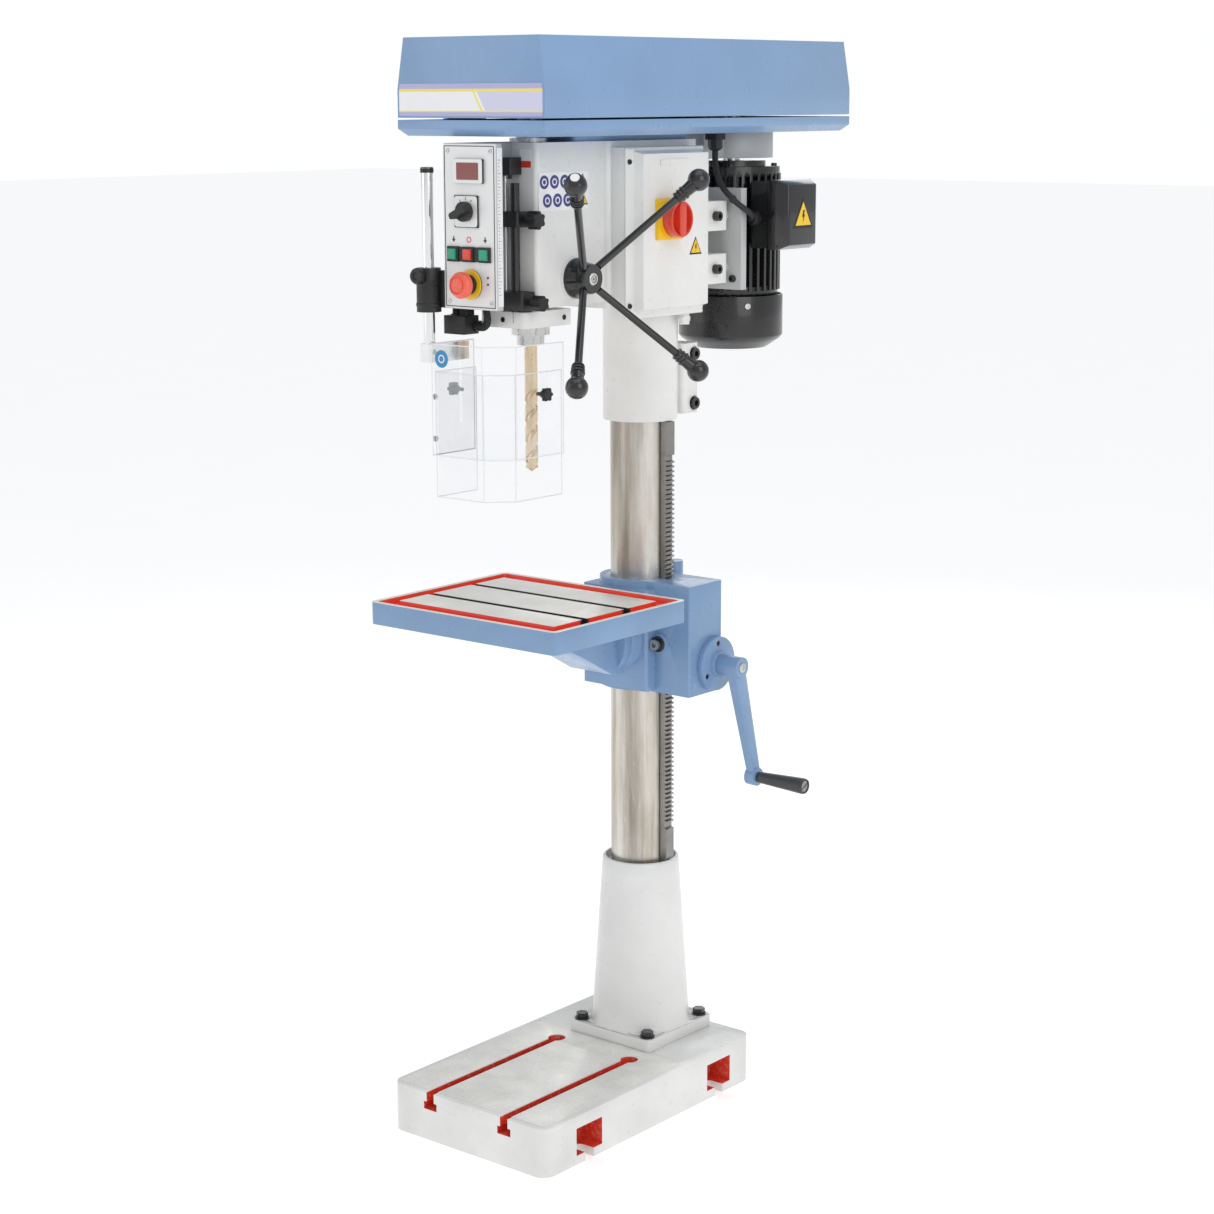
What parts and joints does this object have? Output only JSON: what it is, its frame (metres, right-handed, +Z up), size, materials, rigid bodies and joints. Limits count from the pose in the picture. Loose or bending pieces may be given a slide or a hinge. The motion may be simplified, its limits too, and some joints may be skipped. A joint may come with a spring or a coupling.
{
  "type": "drill press",
  "caption": "Floor-standing drill press with belt-driven head, rack-lifted tilting table on a round column, T-slotted base and a clear chuck guard.",
  "frame": {"origin": "column axis at floor level, on the underside of the base", "axes": "+Z up, the operator stands at -Y, the feed handles and the crank are on +X"},
  "size_m": [0.5063, 0.829, 1.757],
  "materials": {
    "cast_white": "semi-gloss off-white paint on rough casting",
    "cast_blue": "semi-gloss light blue paint on casting",
    "sheet_blue": "powder-coated light blue sheet",
    "bright_steel": "ground steel with oil streaks",
    "black_plastic": "black moulded plastic",
    "black_gloss": "glossy black plastic",
    "black_paint": "black enamel",
    "grey_plate": "grey painted plate",
    "panel_grey": "satin sheet",
    "zinc": "zinc-plated steel",
    "chrome": "polished chrome",
    "gold_hss": "gold-coated high speed steel",
    "cast_alloy": "turned aluminium",
    "rubber": "black rubber",
    "clear": "clear polycarbonate",
    "red_plastic": "red plastic",
    "green_plastic": "green plastic",
    "yellow_plastic": "yellow plastic",
    "bronze": "bronze",
    "grip_grey": "dark grey moulded grip"
  },
  "bodies": {
    "stand": {"base_casting": "cast_white", "column_socket": "cast_white", "frame_bolts": "black_paint", "column": "bright_steel", "head_casting": "cast_white", "spring_case": "black_paint", "return_spring": "bright_steel", "control_housing": "grey_plate", "control_panel": "panel_grey", "panel_devices": "black_plastic", "limit_switch": "black_plastic", "rod_guide": "black_plastic", "electrics_box": "cast_white", "electrics_lid": "cast_white", "main_switch_plate": "yellow_plastic", "motor_plate": "grey_plate", "motor_frame": "black_paint", "fan_cover": "black_paint", "terminal_box": "black_gloss", "motor_cable": "rubber", "belt_tray": "sheet_blue", "v_belt": "rubber", "guard_holder": "black_plastic", "guard_switch": "black_plastic"},
    "lift_rack": {"rack": "bright_steel"},
    "table_carrier": {"table_bracket": "cast_blue", "crank_bearing": "cast_blue"},
    "crank": {"crank_shaft": "bright_steel", "crank_arm": "cast_blue", "grip_screw": "zinc"},
    "crank_handle": {"crank_grip": "grip_grey"},
    "lift_gears": {"lift_shaft": "bright_steel", "worm_wheel": "bronze"},
    "table": {"work_table": "cast_blue"},
    "table_lock": {"lock_lever": "black_paint"},
    "feed_wheel": {"feed_shaft": "bright_steel", "feed_hub": "black_paint", "feed_spokes": "black_paint", "feed_knobs": "black_gloss"},
    "tapping_switch": {"tap_button": "zinc"},
    "quill_group": {"quill": "bright_steel", "quill_clamp": "cast_white", "quill_bearings": "zinc", "stop_rod": "black_paint"},
    "stop_collar": {"depth_stop": "black_plastic"},
    "spindle_group": {"spindle": "bright_steel", "drill_bit": "gold_hss"},
    "drive_pulley": {"spindle_pulley": "cast_alloy"},
    "motor_rotor": {"rotor": "bright_steel", "motor_pulley": "cast_alloy"},
    "lid": {"belt_cover": "sheet_blue"},
    "guard": {"guard_post": "chrome", "upper_guard": "clear"},
    "guard_slider": {"lower_guard": "clear"},
    "start_button_left_body": {"start_button_left": "green_plastic"},
    "stop_button_body": {"stop_button": "red_plastic"},
    "start_button_right_body": {"start_button_right": "green_plastic"},
    "estop_button_body": {"estop_button": "red_plastic"},
    "speed_switch_body": {"speed_switch": "black_plastic"},
    "main_switch_handle_body": {"main_switch_handle": "red_plastic"}
  },
  "joints": [
    {"name": "table_swing", "type": "hinge", "parent": "stand", "child": "lift_rack", "pos_m": [0, 0, 0.8], "axis": [0, 0, 1], "range_deg": [-170, 170]},
    {"name": "table_lift", "type": "slide", "parent": "lift_rack", "child": "table_carrier", "axis": [0, 0, 1], "range_m": [-0.295, 0.16]},
    {"name": "crank_turn", "type": "hinge", "parent": "table_carrier", "child": "crank", "pos_m": [0.17, 0.02, 0.747], "axis": [1, 0, 0], "range_deg": [-10476, 19315]},
    {"name": "crank_grip_spin", "type": "hinge", "parent": "crank", "child": "crank_handle", "pos_m": [0.265, 0.041, 0.56], "axis": [1, 0, 0], "continuous": true},
    {"name": "lift_gear_turn", "type": "hinge", "parent": "table_carrier", "child": "lift_gears", "pos_m": [0.0795, 0, 0.783], "axis": [0, 1, 0], "range_deg": [-530, 970]},
    {"name": "table_tilt", "type": "hinge", "parent": "table_carrier", "child": "table", "pos_m": [0, -0.1, 0.79], "axis": [0, 1, 0], "range_deg": [-45, 45]},
    {"name": "table_lock_turn", "type": "hinge", "parent": "table_carrier", "child": "table_lock", "pos_m": [0, 0.082, 0.79], "axis": [1, 0, 0], "range_deg": [-50, 40]},
    {"name": "feed_turn", "type": "hinge", "parent": "stand", "child": "feed_wheel", "pos_m": [0.08, -0.2325, 1.392], "axis": [1, 0, 0], "range_deg": [0, 429.5], "stiffness_Nm_per_rad": 0.7, "springref_deg": -206.26},
    {"name": "tap_button_push", "type": "slide", "parent": "feed_wheel", "child": "tapping_switch", "axis": [-0.4601, 0.6278, -0.6278], "range_m": [0, 0.003], "stiffness_N_per_m": 400, "springref_m": -0.001},
    {"name": "quill_slide", "type": "slide", "parent": "stand", "child": "quill_group", "axis": [0, 0, -1], "range_m": [0, 0.0975]},
    {"name": "depth_stop_slide", "type": "slide", "parent": "quill_group", "child": "stop_collar", "axis": [0, 0, 1], "range_m": [0, 0.025]},
    {"name": "spindle_spin", "type": "hinge", "parent": "quill_group", "child": "spindle_group", "pos_m": [0, -0.274, 1.4], "axis": [0, 0, 1], "continuous": true},
    {"name": "pulley_spin", "type": "hinge", "parent": "stand", "child": "drive_pulley", "pos_m": [0, -0.274, 1.69], "axis": [0, 0, 1], "continuous": true},
    {"name": "motor_spin", "type": "hinge", "parent": "stand", "child": "motor_rotor", "pos_m": [0, 0.248, 1.45], "axis": [0, 0, 1], "continuous": true},
    {"name": "belt_cover_hinge", "type": "hinge", "parent": "stand", "child": "lid", "pos_m": [-0.155, 0, 1.6355], "axis": [0, -1, 0], "range_deg": [0, 100]},
    {"name": "guard_swing", "type": "hinge", "parent": "stand", "child": "guard", "pos_m": [-0.084, -0.414, 1.4], "axis": [0, 0, -1], "range_deg": [0, 100]},
    {"name": "guard_height", "type": "slide", "parent": "guard", "child": "guard_slider", "axis": [0, 0, -1], "range_m": [-0.03, 0.045]},
    {"name": "start_button_left_push", "type": "slide", "parent": "stand", "child": "start_button_left_body", "axis": [0, 1, 0], "range_m": [0, 0.003], "stiffness_N_per_m": 400, "springref_m": -0.001},
    {"name": "stop_button_push", "type": "slide", "parent": "stand", "child": "stop_button_body", "axis": [0, 1, 0], "range_m": [0, 0.003], "stiffness_N_per_m": 400, "springref_m": -0.001},
    {"name": "start_button_right_push", "type": "slide", "parent": "stand", "child": "start_button_right_body", "axis": [0, 1, 0], "range_m": [0, 0.003], "stiffness_N_per_m": 400, "springref_m": -0.001},
    {"name": "estop_push", "type": "slide", "parent": "stand", "child": "estop_button_body", "axis": [0, 1, 0], "range_m": [0, 0.005], "stiffness_N_per_m": 400, "springref_m": -0.001},
    {"name": "speed_switch_turn", "type": "hinge", "parent": "stand", "child": "speed_switch_body", "pos_m": [-0.006, -0.415, 1.499], "axis": [0, -1, 0], "range_deg": [-60, 60]},
    {"name": "main_switch_turn", "type": "hinge", "parent": "stand", "child": "main_switch_handle_body", "pos_m": [0.125, -0.065, 1.478], "axis": [-1, 0, 0], "range_deg": [0, 90]}
  ],
  "couplings": [
    {"joint": "table_lift", "follows": "crank_turn", "m_per_rad": -0.000875},
    {"joint": "lift_gear_turn", "follows": "crank_turn", "ratio": 0.05},
    {"joint": "quill_slide", "follows": "feed_turn", "m_per_rad": 0.013},
    {"joint": "spindle_spin", "follows": "motor_spin", "ratio": 0.70786},
    {"joint": "pulley_spin", "follows": "motor_spin", "ratio": 0.70786}
  ]
}
